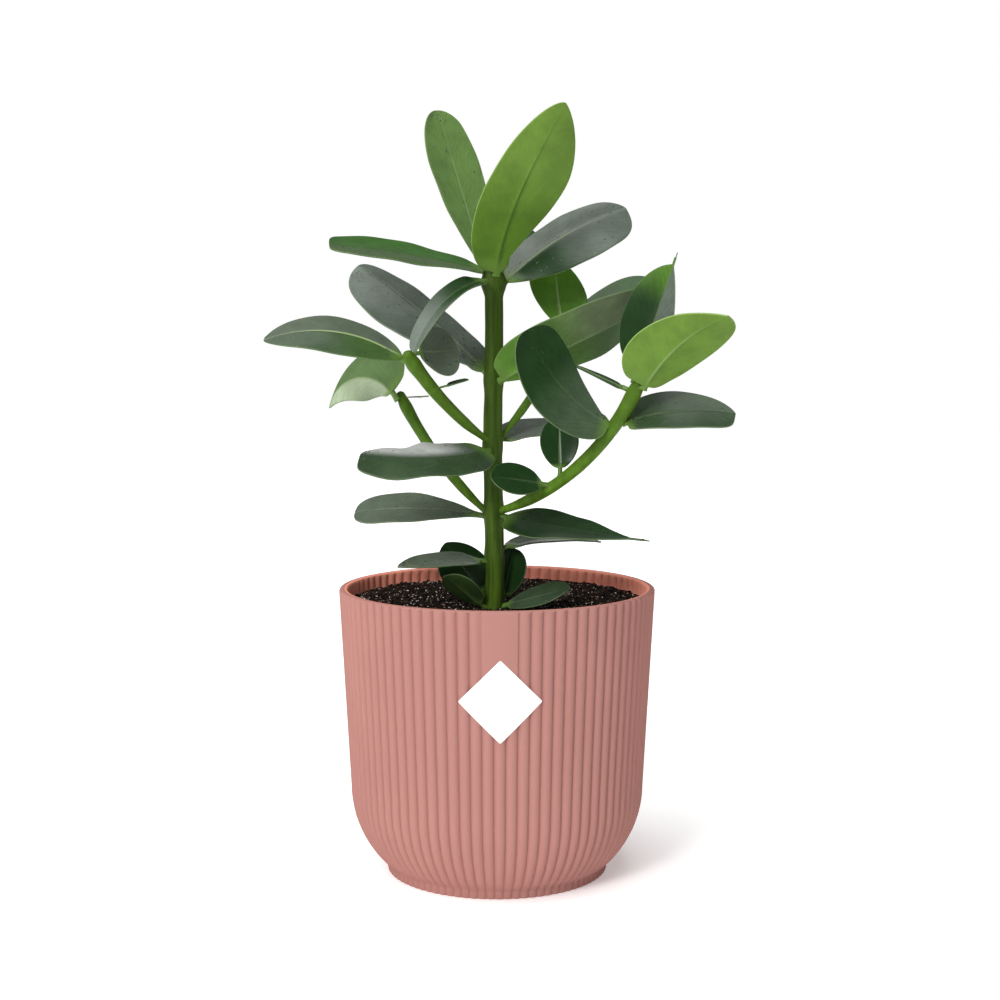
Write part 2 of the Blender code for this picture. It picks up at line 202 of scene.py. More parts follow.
# %% The profile of the pot, as radius and height from the top of the lip
def pot_outside():
    lip = [(RIM_R - 1.5 * MM, RIM_Z - 0.05 * MM), (RIM_R - 0.7 * MM, RIM_Z - 0.35 * MM),
           (RIM_R - 0.2 * MM, RIM_Z - 0.9 * MM)]
    heights = (163.9, 163.6, 163.3, 163.0, 162.6, 160, 150, 140, 130, 120, 115, 112, 109, 100, 90,
               80, 70, 60)
    wall = [(wall_r(z * MM), z * MM) for z in heights]
    curve = [belly(a) for a in (0, 4, 8, 12, 16, 20, 24, 28, 32, 36, 39, 42, 44.5)]
    foot = [(66.3 * MM, 6.9 * MM), (65.0 * MM, 5.9 * MM), (64.3 * MM, 4.9 * MM), (FOOT_R, FOOT_Z),
            (FOOT_R, 1.0 * MM), (FOOT_R - 0.2 * MM, 0.3 * MM), (FOOT_R - 0.8 * MM, 0)]
    return lip + wall + curve + foot + [(50 * MM, 0), (25 * MM, 0), (0, 0)]


def pot_inside():
    lip = [(RIM_R - LIP + 1.4 * MM, RIM_Z), (RIM_R - LIP + 0.7 * MM, RIM_Z - 0.2 * MM),
           (RIM_R - LIP + 0.2 * MM, RIM_Z - 0.7 * MM)]
    wall = [(wall_r(z * MM) - LIP, z * MM) for z in (163.4, 162, 160, 156, 152, 140, 110, 80)]
    curve = [belly(a, LIP) for a in (0, 10, 20, 30, 40)]
    return lip + wall + curve + [(58 * MM, 5 * MM), (30 * MM, 5 * MM), (0, 5 * MM)]


print("pot profile", len(pot_outside()), "points outside,", len(pot_inside()), "inside")


# %% Draw a ring along a profile
def first_ring(bm, r, z, steps):
    verts = bmesh.ops.create_circle(bm, segments=steps, radius=r)["verts"]
    bmesh.ops.translate(bm, verts=verts, vec=(0, 0, z))
    return bm.edges[:]


def draw_ring_along(bm, ring, points):
    """Extrude a ring of edges to each radius and height in turn; a radius of 0 closes it."""
    for r, z in points:
        grown = bmesh.ops.extrude_edge_only(bm, edges=ring)["geom"]
        fresh = {g for g in grown if isinstance(g, bmesh.types.BMVert)}
        ring = [g for g in grown if isinstance(g, bmesh.types.BMEdge) and fresh.issuperset(g.verts)]
        for vert in fresh:
            flat = Vector((vert.co.x, vert.co.y)).normalized() * r
            vert.co = (flat.x, flat.y, z)
        if r == 0:
            bmesh.ops.pointmerge(bm, verts=list(fresh), merge_co=(0, 0, z))


# %% [markdown]
# A rib is round like a slim column, so the groove between two of them is narrow and sharp.  The
# grooves run up to the lip and grow shallow over the foot.  At the front they leave a plain panel,
# three ribs wide, with a fine step along each side; below it the ribs go on.  Boolean cuts would
# leave ragged faces, so each point of the wall is simply moved inwards, by an amount that depends
# on how far it is from the crest of its rib.  Inside, the wall follows the ribs below the lip.

# %% Draw the pot and press the grooves
RIB_SPREAD = (0, 0.26, 0.48, 0.66, 0.8, 0.9, 0.96, 1)
RIB_SWELL, RIB_ROUND, GROOVE_FLOOR = 3.0 * MM, 0.88, 0.97
INSIDE_SWELL = 1.3 * MM


def groove_depth(v):
    """How far the outside is pressed in, from 0 on a rib's crest to 1 in the groove."""
    v = min(v, GROOVE_FLOOR)
    return RIB_SWELL * (1 - math.sqrt(1 - RIB_ROUND * v * v))


def rib_column(index):
    """Angle of a column of the ring and its place between crest (0) and groove (1)."""
    rib, step = divmod(index, RIB_COLUMNS)
    half = RIB_COLUMNS // 2
    v = RIB_SPREAD[step] if step <= half else RIB_SPREAD[RIB_COLUMNS - step]
    within = v / 2 if step <= half else 1 - v / 2
    return (rib + within) * 2 * math.pi / RIBS, v


def press(r, z, angle, v, outside):
    """New radius of a point of the wall.  The panel's sides dip by half a groove."""
    if outside:
        ribs_aside = abs((angle + math.pi) % (2 * math.pi) - math.pi) * RIBS / (2 * math.pi)
        if z > PANEL_Z and ribs_aside < PANEL_HALF:
            return r - groove_depth(1) * 0.5 * smooth_step(1.38, 1.5, ribs_aside)
        if z > PANEL_Z:
            v *= 0.8 + 0.2 * smooth_step(1.5, 1.8, ribs_aside)
        fade = smooth_step(164.9 * MM, 163.6 * MM, z)
        fade *= 0.45 + 0.55 * smooth_step(1 * MM, 16 * MM, z)
        return r - groove_depth(v) * fade
    fade = smooth_step(164.0 * MM, 162.5 * MM, z) * smooth_step(100 * MM, 140 * MM, z)
    return r + INSIDE_SWELL * (v * v - 0.3) * fade


def mid_wall(z):
    """The radius half way through the wall, to tell its outside from its inside."""
    if z >= BELLY_Z:
        return wall_r(z) - LIP / 2
    middle = BELLY_R - LIP / 2
    return BELLY_MIDDLE_R + math.sqrt(middle * middle - (BELLY_Z - z) ** 2)


def shape_pot():
    bm = bmesh.new()
    steps = RIBS * RIB_COLUMNS
    ring = first_ring(bm, RIM_R - LIP / 2, RIM_Z, steps)
    draw_ring_along(bm, ring, pot_outside())
    draw_ring_along(bm, ring, pot_inside())
    for vert in bm.verts:
        x, y, z = vert.co
        r = math.hypot(x, y)
        angle, v = rib_column(round(math.atan2(y, x) / (2 * math.pi) * steps) % steps)
        in_wall = r > 60 * MM or z > 6 * MM
        if in_wall:
            r = press(r, z, angle, v, outside=r > mid_wall(z))
        turned = angle - math.pi / 2 + FRONT_TURN
        vert.co = (r * math.cos(turned), r * math.sin(turned), z)
    bmesh.ops.recalc_face_normals(bm, faces=bm.faces)
    print("pot", len(bm.faces), "faces")
    return bm


# %% [markdown]
# The plastic is dyed through in a dusty terracotta pink and has a fine matt grain from its mould.
# A picture laid over the pot would repeat and show a seam; noise in space does neither.  The dye
# varies by a few per cent over large patches, and a very small bump breaks up the light as the
# grain does.  The light that bounces about inside the lip makes the wall there look redder, so the
# colour turns warmer within the wall's inner radius.

# %% Matt pink plastic
def pot_plastic():
    f = Finish("pot_plastic", roughness=0.55, specular=0.0)
    place = f.object_place()
    patches = f.noise(place, 9.0, 3.0)
    colour = f.blend(f.mask(patches, 0.35, 0.65), (0.38, 0.185, 0.16, 1), (0.405, 0.197, 0.17, 1))
    x, y, z = f.split(place)
    radius = f.math("SQRT", f.math("ADD", f.math("MULTIPLY", x, x), f.math("MULTIPLY", y, y)))
    inside = f.math("MULTIPLY", f.mask(radius, 0.0874, 0.0882, 1.0, 0.0), f.mask(z, 0.145, 0.15))
    f.colour(f.blend(inside, colour, (0.9, 0.33, 0.24, 1)))
    f.bump(f.noise(place, 2600.0, 2.0), 0.12, 0.0002)
    return f.material


put_in_scene("planter", shape_pot(), pot_plastic(), "pot", sharp=60)

# %% [markdown]
# The label is a blank square of coated paper, standing on one corner with its corners cut round.
# A flat square would stand off the round pot, so it is sliced into narrow upright strips first,
# then bent around the wall, and only then given the thickness of the paper.

# %% Blank label
LABEL_HALF, LABEL_Z, LABEL_CORNER, PAPER = 22.8 * MM, 116 * MM, 0.9 * MM, 0.35 * MM


def bend_label():
    bm = bmesh.new()
    bmesh.ops.create_circle(bm, cap_ends=True, segments=4, radius=LABEL_HALF)
    bmesh.ops.bevel(bm, geom=bm.verts[:], offset=LABEL_CORNER, affect="VERTICES", segments=5,
                    profile=0.5, material=-1)
    for k in range(-20, 21):
        bmesh.ops.bisect_plane(bm, geom=bm.verts[:] + bm.edges[:] + bm.faces[:],
                               plane_co=(k * MM, 0, 0), plane_no=(1, 0, 0))
    for vert in bm.verts:
        z = LABEL_Z + vert.co.y
        r = wall_r(z) + SEAT
        angle = vert.co.x / r + FRONT_TURN
        vert.co = (r * math.sin(angle), -r * math.cos(angle), z)
    bmesh.ops.recalc_face_normals(bm, faces=bm.faces)
    if sum(face.normal.y for face in bm.faces) >= 0:
        bmesh.ops.reverse_faces(bm, faces=bm.faces)
    bmesh.ops.solidify(bm, geom=bm.faces[:], thickness=PAPER)
    print("label", len(bm.faces), "faces")
    return bm


def label_paper():
    f = Finish("label_paper", roughness=0.38, specular=0.5)
    fibres = f.noise(f.object_place(), 700.0, 3.0)
    f.colour(f.blend(fibres, (0.88, 0.88, 0.88, 1), (0.93, 0.93, 0.93, 1)))
    return f.material


put_in_scene("blank_label", bend_label(), label_paper(), "label")

# %% [markdown]
# Potting mix is a dark, damp heap of crumbs: peat, bark and many pale grains.  Its body is one
# disc of rings with a bumpy top that dips towards the stem.  Particles could be scattered by a
# modifier, but then they would not be the piece's own mesh.  So loose lumps are made one by one;
# each is a ball of twenty faces pushed out of shape, few enough for thousands of them.

# %% Body of the soil
SOIL_EDGE_Z, SOIL_MIDDLE_Z, SOIL_R = 157 * MM, 152.5 * MM, 85.6 * MM
SOIL_RINGS, SOIL_FLOOR_Z = 84, 5.2 * MM


def soil_height(x, y):
    """Height of the soil's top: a shallow dish with clods and crumbs."""
    r = math.hypot(x, y)
    dish = SOIL_MIDDLE_Z + (SOIL_EDGE_Z - SOIL_MIDDLE_Z) * smooth_step(0.2, 1.0, r / SOIL_R)
    clods = noise.noise(Vector((x * 70, y * 70, 0))) * 1.1
    crumbs = noise.noise(Vector((x * 330, y * 330, 5))) * 0.7
    grit = noise.noise(Vector((x * 900, y * 900, 9))) * 0.35
    return dish + (clods + crumbs + grit) * MM


def soil_body():
    bm = bmesh.new()
    ring = first_ring(bm, SOIL_R, SOIL_EDGE_Z, 360)
    draw_ring_along(bm, ring, [(SOIL_R * k / SOIL_RINGS, SOIL_EDGE_Z)
                               for k in range(SOIL_RINGS - 1, -1, -1)])
    draw_ring_along(bm, ring, [(SOIL_R - 1 * MM, 120 * MM), (79 * MM, 60 * MM),
                               (56 * MM, SOIL_FLOOR_Z), (0, SOIL_FLOOR_Z)])
    for vert in bm.verts:
        if vert.co.z > 150 * MM:
            vert.co.z = soil_height(vert.co.x, vert.co.y)
    bmesh.ops.recalc_face_normals(bm, faces=bm.faces)
    print("soil", len(bm.faces), "faces")
    return bm


def soil_finish():
    f = Finish("potting_mix", roughness=0.85, specular=0.1)
    place = f.object_place()
    colour = f.blend(f.mask(f.noise(place, 600.0, 3.0), 0.4, 0.62),
                     (0.004, 0.003, 0.002, 1), (0.013, 0.008, 0.005, 1))
    f.colour(f.blend(f.mask(f.noise(place, 1500.0, 1.0), 0.7, 0.76), colour, (0.16, 0.09, 0.05, 1)))
    f.bump(f.noise(place, 1800.0, 3.0), 0.7, 0.0006)
    return f.material


put_in_scene("potting_mix", soil_body(), soil_finish(), "soil", sharp=180)


# %% Loose crumbs and pale grains
STREWN_R = 84.5 * MM


def add_lump(bm, rng, sizes, stretch):
    r, angle = STREWN_R * math.sqrt(rng.random()), rng.uniform(0, 2 * math.pi)
    x, y = r * math.cos(angle), r * math.sin(angle)
    size = rng.uniform(*sizes) * MM
    turn = Matrix.Rotation(rng.uniform(0, 6.28), 4, "Z")
    turn = turn @ Matrix.Rotation(rng.uniform(-0.6, 0.6), 4, "X")
    shape = (rng.uniform(1, stretch), rng.uniform(0.7, 1), rng.uniform(0.5, 0.8), 1)
    place = Matrix.Translation((x, y, soil_height(x, y) + 0.15 * size))
    lump = bmesh.ops.create_icosphere(bm, subdivisions=1, radius=size / 2,
                                      matrix=place @ turn @ Matrix.Diagonal(shape))
    for vert in lump["verts"]:
        vert.co += Vector([rng.uniform(-0.1, 0.1) * size for _ in range(3)])


def scatter_crumbs(count, sizes, seed, stretch):
    """Small lumps lying on the soil, made in small batches because that is quicker."""
    rng = random.Random(seed)
    heap = bmesh.new()
    for start in range(0, count, 50):
        batch = bmesh.new()
        for _ in range(min(50, count - start)):
            add_lump(batch, rng, sizes, stretch)
        mesh = bpy.data.meshes.new("batch")
        batch.to_mesh(mesh)
        batch.free()
        heap.from_mesh(mesh)
        bpy.data.meshes.remove(mesh)
    print(count, "lumps,", len(heap.faces), "faces")
    return heap


def plain_finish(name, dark, light, roughness, scale):
    """A finish that only varies between two colours from lump to lump."""
    f = Finish(name, roughness=roughness, specular=0.12)
    lightness = f.mask(f.noise(f.object_place(), scale, 1.0), 0.35, 0.65)
    f.colour(f.blend(lightness, (*dark, 1), (*light, 1)))
    return f.material


put_in_scene("soil_crumbs", scatter_crumbs(2600, (0.9, 2.4), 3, 1.6),
             plain_finish("crumbs", (0.002, 0.0015, 0.001), (0.022, 0.012, 0.008), 0.75, 420),
             sharp=30)
put_in_scene("bark_chips", scatter_crumbs(1000, (0.5, 1.5), 4, 2.4),
             plain_finish("bark", (0.02, 0.009, 0.005), (0.2, 0.09, 0.045), 0.7, 500),
             sharp=30)
put_in_scene("pale_grains", scatter_crumbs(1300, (0.45, 1.1), 5, 1.5),
             plain_finish("grains", (0.25, 0.17, 0.12), (0.95, 0.88, 0.8), 0.5, 600),
             sharp=30)

# %% [markdown]
# Stem, branches and leaves all follow bent lines.  A line starts at a point, heads off by an
# azimuth and a rise, and turns evenly along its length.  Keeping the lines apart from the shapes
# means a branch and a leaf can share the same few numbers that the measured model uses.

# %% Bent lines
STEM_X, STEM_LOW_Z, STEM_TOP_Z = -2 * MM, 95 * MM, 349 * MM
STEM_R_LOW, STEM_R_HIGH = 5.7, 5.1
STEM_RINGS = {181: 0.5, 208: 0.5, 247: 0.6, 284: 0.6, 339: 2.3}
BRANCHES = {
    # name: height, azimuth, rise, bend, length, radius low, radius high
    "branch_left_back": (210, 145, 35, 24, 89, 2.8, 3.4),
    "branch_left_front": (251, -134, 29, 20, 78, 2.7, 4.0),
    "branch_right_front": (210, -32, 18, 47, 121, 3.1, 4.0),
    "branch_right_back": (253, 39, 42, 16, 77, 2.5, 2.4),
}


def heading(azimuth, rise):
    a, e = math.radians(azimuth), math.radians(rise)
    return Vector((math.cos(e) * math.cos(a), math.cos(e) * math.sin(a), math.sin(e)))


class BentLine:
    """A line whose azimuth and rise change evenly along its length, in metres."""
    STEPS = 48

    def __init__(self, start, azimuth, rise, bend, swerve, length):
        self.azimuth, self.rise, self.bend, self.swerve = azimuth, rise, bend, swerve
        self.length = length
        self.points = [Vector(start)]
        for i in range(self.STEPS):
            step = self.direction((i + 0.5) / self.STEPS) * (length / self.STEPS)
            self.points.append(self.points[-1] + step)

    def direction(self, share):
        return heading(self.azimuth + self.swerve * share, self.rise + self.bend * share)

    def point(self, share):
        """A point of the line; beyond its ends the line runs straight on."""
        if share < 0:
            return self.points[0] + self.direction(0) * (share * self.length)
        if share > 1:
            return self.points[-1] + self.direction(1) * ((share - 1) * self.length)
        place = share * self.STEPS
        low = min(int(place), self.STEPS - 1)
        return self.points[low].lerp(self.points[low + 1], place - low)

    def frame(self, share, roll):
        """Forward, side and upper directions, rolled about the line."""
        share = min(max(share, 0), 1)
        forward = self.direction(share)
        azimuth = math.radians(self.azimuth + self.swerve * share)
        level = Vector((-math.sin(azimuth), math.cos(azimuth), 0))
        upper = forward.cross(level)
        r = math.radians(roll)
        return (forward, level * math.cos(r) + upper * math.sin(r),
                upper * math.cos(r) - level * math.sin(r))


def stem_r(z):
    """Radius of the main stem, with a ring where leaves and branches grow."""
    share = min(max((z - SOIL_MIDDLE_Z) / (STEM_TOP_Z - SOIL_MIDDLE_Z), 0), 1)
    r = STEM_R_LOW + (STEM_R_HIGH - STEM_R_LOW) * share
    for ring, swelling in STEM_RINGS.items():
        r += swelling * smooth_step(9, 0, abs(z / MM - ring))
    return r * MM


def leave_host(point, axis, radius, direction, own_radius):
    """Where a stalk or branch starts beside what it grows on."""
    outward = (direction - axis * direction.dot(axis)).normalized()
    lean = math.sqrt(max(0, 1 - direction.dot(outward) ** 2))
    return point + outward * (radius + SEAT + own_radius * lean)


branch_lines = {}
for name, (height, azimuth, rise, bend, length, low, high) in BRANCHES.items():
    foot = leave_host(Vector((STEM_X, 0, height * MM)), Vector((0, 0, 1)), stem_r(height * MM),
                      heading(azimuth, rise), low * MM)
    branch_lines[name] = BentLine(foot, azimuth, rise, bend, 0, length * MM)
    print(name, "ends at", [round(c / MM) for c in branch_lines[name].points[-1]])

# %% [markdown]
# A stem is never a plain tube: it has a ring wherever leaves grew and faint ribs along it, and a
# branch is slimmer at its foot, thickens to a node near its end and narrows again at the very tip.
# A cylinder is cut into rings, and every ring is moved to its place on the line and given its own
# radius, which lets one function make the stem and all branches.

# %% Stems from cylinders
def stem_shape(place, rings, segments=40):
    """A cylinder whose points place(share, angle) puts where they belong."""
    bm = bmesh.new()
    bmesh.ops.create_cone(bm, cap_ends=True, segments=segments, radius1=1, radius2=1, depth=1)
    upright = [e for e in bm.edges if abs(e.verts[0].co.z - e.verts[1].co.z) > 0.5]
    bmesh.ops.subdivide_edges(bm, edges=upright, cuts=rings, use_grid_fill=True)
    for vert in bm.verts:
        vert.co = place(vert.co.z + 0.5, math.atan2(vert.co.y, vert.co.x))
    bmesh.ops.recalc_face_normals(bm, faces=bm.faces)
    return bm


def main_stem_place(share, angle):
    z = STEM_LOW_Z + (STEM_TOP_Z - STEM_LOW_Z) * share
    r = stem_r(z) + 0.12 * MM * math.cos(5 * angle + z * 30)
    r += 0.25 * MM * noise.noise(Vector((math.cos(angle), math.sin(angle), z * 60)))
    r *= math.sqrt(max(0.06, 1 - smooth_step(STEM_TOP_Z - 6 * MM, STEM_TOP_Z, z) ** 2))
    lean = 0.5 * MM * math.sin(z * 45)
    return Vector((STEM_X + lean + r * math.cos(angle), r * math.sin(angle), z))


NODE_SHARE = 0.93


def branch_place(name):
    low, high = BRANCHES[name][-2:]
    line = branch_lines[name]
    seed = len(name) + low

    def place(share, angle):
        reach = share * (line.length + 4 * MM) - 3 * MM
        along = reach / line.length
        _, side, upper = line.frame(along, 0)
        r = low + (high - low) * min(max(along, 0), 1)
        r += 0.5 * smooth_step(10, 0, abs(along - NODE_SHARE) * 60)
        r -= 0.9 * smooth_step(20 * MM, 0, reach)
        r += 0.15 * noise.noise(Vector((math.cos(angle), math.sin(angle), along * 7 + seed)))
        r *= 1 - 0.28 * smooth_step(0.88, 1.0, along)
        r *= math.sqrt(max(0.05, 1 - smooth_step(0.985, 1.02, along) ** 2))
        return line.point(along) + (side * math.cos(angle) + upper * math.sin(angle)) * r * MM
    return place


# %% [markdown]
# Young bark is smooth and green.  It is darker high up and in patches, and has fine light streaks
# along it.  The streaks are noise that a Mapping node draws out along the stem, which is simpler
# than a map laid around each branch.

# %% Green bark
def green_bark(name, dark, light, stretch):
    f = Finish(name, roughness=0.45, specular=0.1)
    place = f.object_place()
    drawn = f.node("ShaderNodeMapping")
    drawn.inputs["Scale"].default_value = stretch
    f.join(place, drawn.inputs["Vector"])
    streaks = f.noise(drawn.outputs[0], 420.0, 3.0)
    colour = f.blend(f.mask(streaks, 0.3, 0.7), (*dark, 1), (*light, 1))
    patches = f.mask(f.noise(place, 55.0, 2.0), 0.45, 0.75, 0.0, 0.6)
    high = f.mask(f.split(place)[2], 0.19, 0.28, 0.0, 0.55)
    f.colour(f.blend(f.math("MAXIMUM", patches, high), colour, (*(c * 0.6 for c in dark), 1)))
    f.bump(streaks, 0.25, 0.0004)
    return f.material


stem_bark = green_bark("stem_bark", (0.032, 0.066, 0.006), (0.08, 0.145, 0.014), (1, 1, 0.06))
branch_bark = green_bark("branch_bark", (0.07, 0.15, 0.012), (0.11, 0.22, 0.018), (0.6, 0.6, 0.3))
put_in_scene("stem", stem_shape(main_stem_place, 170, 48), stem_bark, "main_stem")
for name in BRANCHES:
    put_in_scene("bark_" + name, stem_shape(branch_place(name), 70), branch_bark, name)

# %% [markdown]
# A clusia leaf is one thick, waxy plate on a short flat stalk.  Its outline is a smooth curve that
# rises from the base and closes at the tip, and two powers describe it: width = s**a * (1-s)**b.
# The same few outlines serve all the leaves, so each leaf needs only one row of numbers: where it
# grows, where it points, how it bends and turns, and how long and wide it is.

# %% Outlines and the list of leaves
FORMS = {
    # name: base power, tip power, lobe behind the stalk, stalk length
    "spoon": (0.85, 0.36, 0, 7),
    "broad": (0.42, 0.42, 4, 5),
    "blunt": (0.30, 0.36, 5, 5),
    "paddle": (0.34, 0.27, 6, 5),
    "oval": (0.60, 0.50, 2, 4),
    "pointed": (0.60, 0.70, 0, 6),
    "drawn": (0.40, 0.85, 3, 5),
    "needle": (0.45, 1.80, 2, 7),
    "bract": (0.70, 0.50, 0, 3),
}
LEAF_COLUMNS = ("name", "host", "place", "azimuth", "rise", "bend", "swerve",
                "length", "width", "roll", "twist", "fold", "form")
LEAVES = [
    ("leaf_top_upright_back", "main_stem", 347, 136, 67, 0, 0, 93, 34, -12, 0, 0, "spoon"),
    ("leaf_top_upright_front", "main_stem", 346, -74, 62, 0, 88, 97, 41, -4, -72, 0, "broad"),
    ("leaf_top_right", "main_stem", 341, 23, 42, -26, 0, 80, 39, 42, 0, -22, "spoon"),
    ("leaf_top_left", "main_stem", 346, -171, 14, -10, 0, 83, 38, -20, 0, 0, "broad"),
    ("leaf_top_front", "main_stem", 340, -127, -4, -56, 0, 72, 17, -24, 32, 8, "broad"),
    ("leaf_top_rear", "main_stem", 341, 76, 36, -12, 0, 54, 28, 0, 0, 0, "spoon"),
    ("leaf_upper_left", "main_stem", 290, 155, 43, -13, 0, 96, 38, -28, 0, -18, "blunt"),
    ("leaf_upper_right", "main_stem", 284, -52, 23, 4, 87, 96, 42, -50, 0, 6, "paddle"),
    ("leaf_left_outer", "branch_left_front", 0.98, -170, 35, -56, 0, 71, 35, -35, 0, -11,
     "pointed"),
    ("leaf_left_inner", "branch_left_front", 0.94, 41, 2, 0, 0, 25, 29, 68, 0, 0, "oval"),
    ("bract_left_inner", "branch_left_front", 0.61, 15, 14, 0, 0, 13, 7, 10, 0, 0, "bract"),
    ("bract_left_outer", "branch_left_front", 0.62, -165, -3, 0, 0, 9, 5, 0, 0, 0, "bract"),
    ("leaf_left_pale", "branch_left_back", 0.99, 163, 57, -136, 0, 49, 29, 60, 84, 20, "drawn"),
    ("leaf_right_small_upright", "branch_right_front", 0.36, 95, 76, 0, 0, 27, 22, -5, 0, 0,
     "oval"),
    ("leaf_right_small_front", "branch_right_front", 0.28, -160, 12, -6, 0, 29, 22, -50, 0, 0,
     "oval"),
    ("leaf_right_front", "branch_right_front", 0.72, -162, 28, 40, 0, 64, 38, -65, 0, 0, "spoon"),
    ("leaf_right_outer", "branch_right_front", 0.78, -8, 19, -29, 0, 54, 32, 38, 0, 0, "broad"),
    ("leaf_right_light", "branch_right_front", 0.98, -41, 54, -38, 0, 60, 37, -38, 0, 10, "blunt"),
    ("leaf_right_upright", "branch_right_front", 0.97, -6, 72, 0, 0, 66, 32, 62, 0, 0, "drawn"),
    ("leaf_rear_thin", "branch_right_front", 0.91, 157, 22, 0, 0, 30, 12, 4, 0, 0, "oval"),
    ("leaf_rear_upright", "branch_right_back", 0.98, 122, 78, 0, 0, 39, 34, -25, 0, 0, "broad"),
    ("leaf_rear_right", "branch_right_back", 0.98, 27, 37, -12, 0, 60, 34, 25, 0, 0, "broad"),
    ("leaf_middle_left", "main_stem", 244, -118, -7, 14, -66, 80, 40, -25, 0, -12, "blunt"),
    ("leaf_middle_right", "main_stem", 249, 60, 17, -30, -68, 70, 28, 16, 0, 0, "broad"),
    ("leaf_lower_left", "main_stem", 206, 170, 9, -18, 0, 69, 33, -26, 0, 0, "spoon"),
    ("leaf_lower_right", "main_stem", 206, -26, -9, 6, 0, 83, 36, 18, 0, 0, "needle"),
    ("leaf_low_right", "main_stem", 187, 26, 14, -28, 0, 59, 26, 4, 0, 0, "broad"),
    ("leaf_low_left", "main_stem", 180, -153, 8, -16, 0, 47, 24, -14, 0, 0, "spoon"),
    ("leaf_base_back_left", "main_stem", 158, 143, 46, 0, 0, 35, 31, -32, 0, 0, "pointed"),
    ("leaf_base_back_right", "main_stem", 156, 46, 72, 0, 0, 27, 24, 12, 0, 0, "oval"),
    ("leaf_base_front_left", "main_stem", 154, -147, 38, 0, 0, 28, 20, 28, 0, 0, "oval"),
    ("leaf_base_front_right", "main_stem", 154, -22, 17, 0, 0, 38, 20, 32, 0, 0, "oval"),
]
leaves = {row[0]: dict(zip(LEAF_COLUMNS, row)) for row in LEAVES}
print(len(leaves), "leaves and bracts")

# %% [markdown]
# Age colours a leaf: old ones are blackish green, young ones are yellow green.  Light is painted
# on many upper faces too: their grey greens are painted sheen, standing for the light that the wax
# mirrors.  Each leaf names the green of its upper face and of its underside, how much it is cupped
# and rippled, how pale its midrib is (below zero, how dark, which is partly painted shade), and how
# many drops of water lie on it.  One flat green makes a leaf look cut from card, so some parts of a
# leaf, such as its base or one half, have a second green that fades into the first; some of these
# are painted sheen, one is a painted reflection and one a painted lit end.

# %% Greens, and the looks of each leaf
GREENS = {
    "black": (0.006, 0.02, 0.006),
    "deep": (0.012, 0.038, 0.009),
    "green": (0.03, 0.1, 0.012),
    "leafy": (0.075, 0.18, 0.018),
    "mild": (0.112, 0.2, 0.054),
    "moss": (0.07, 0.145, 0.012),
    "fresh": (0.088, 0.166, 0.05),
    "sage": (0.08, 0.14, 0.045),
    "young": (0.11, 0.2, 0.03),
    # painted sheen: on the upper faces of leaves, this green and the next two stand for light that
    # the wax mirrors
    "painted_sheen": (0.055, 0.085, 0.048),
    "grey": (0.1, 0.125, 0.1),
    "mist": (0.085, 0.112, 0.075),
    "dusk": (0.036, 0.066, 0.03),
    # painted reflection: a bright light mirrored on a leaf
    "painted_reflection": (0.5, 0.51, 0.49),
    "under": (0.04, 0.085, 0.02),
    "brown": (0.085, 0.12, 0.055),
    "pale": (0.3, 0.37, 0.24),
}
LOOKS = {
    # name: upper face, underside, cup (mm), ripple (mm), midrib, drops
    # upper faces in the grey greens carry painted sheen
    "leaf_top_upright_back": ("mild", "young", 2.0, 0.5, 0.3, 26),
    "leaf_top_upright_front": ("fresh", "young", 1.5, 0.4, -0.6, 0),
    "leaf_top_right": ("grey", "under", 1.5, 0.6, 0.45, 40),
    "leaf_top_left": ("under", "under", 1.5, 0.5, -0.2, 10),
    "leaf_top_front": ("deep", "under", 1.0, 0.3, 0.1, 0),
    "leaf_top_rear": ("deep", "under", 1.0, 0.3, 0.3, 0),
    "leaf_upper_left": ("grey", "under", 1.0, 0.5, 0.25, 80),
    "leaf_upper_right": ("brown", "brown", 0.5, 0.4, 0.3, 0),
    "leaf_left_outer": ("mist", "under", 1.0, 0.3, 1.0, 20),
    "leaf_left_inner": ("mist", "black", 1.0, 0.2, 0.15, 10),
    "leaf_left_pale": ("sage", "sage", 0.5, 0.3, 0.4, 0),
    "leaf_right_small_upright": ("deep", "black", 1.0, 0.2, 0.25, 0),
    "leaf_right_small_front": ("deep", "deep", 1.0, 0.2, 0.1, 6),
    "leaf_right_front": ("deep", "under", 1.5, 0.4, 0.05, 14),
    "leaf_right_outer": ("dusk", "under", 1.0, 0.3, 0.15, 26),
    "leaf_right_light": ("fresh", "young", 1.0, 0.3, 0.35, 0),
    "leaf_right_upright": ("deep", "green", 1.0, 0.3, 0.2, 0),
    "leaf_rear_upright": ("leafy", "leafy", 1.5, 0.3, 0.6, 0),
    "leaf_rear_right": ("green", "green", 1.5, 0.3, 0.3, 0),
    "leaf_middle_left": ("dusk", "deep", 1.0, 1.2, -0.3, 30),
    "leaf_middle_right": ("grey", "under", 0.8, 0.3, 0.3, 0),
    "leaf_lower_left": ("mist", "deep", 1.0, 0.4, 0.1, 30),
    "leaf_lower_right": ("deep", "deep", 1.0, 0.5, -0.2, 30),
    "leaf_low_right": ("painted_sheen", "deep", 0.8, 0.3, 0.2, 0),
    "leaf_low_left": ("mist", "deep", 0.8, 0.3, 0.1, 30),
    "leaf_base_front_right": ("dusk", "deep", 0.8, 0.2, 0.1, 8),
    "bract_left_outer": ("grey", "grey", 0.4, 0.1, 0.1, 0),
}
PLAIN_LOOK = ("deep", "under", 0.8, 0.2, 0.15, 0)
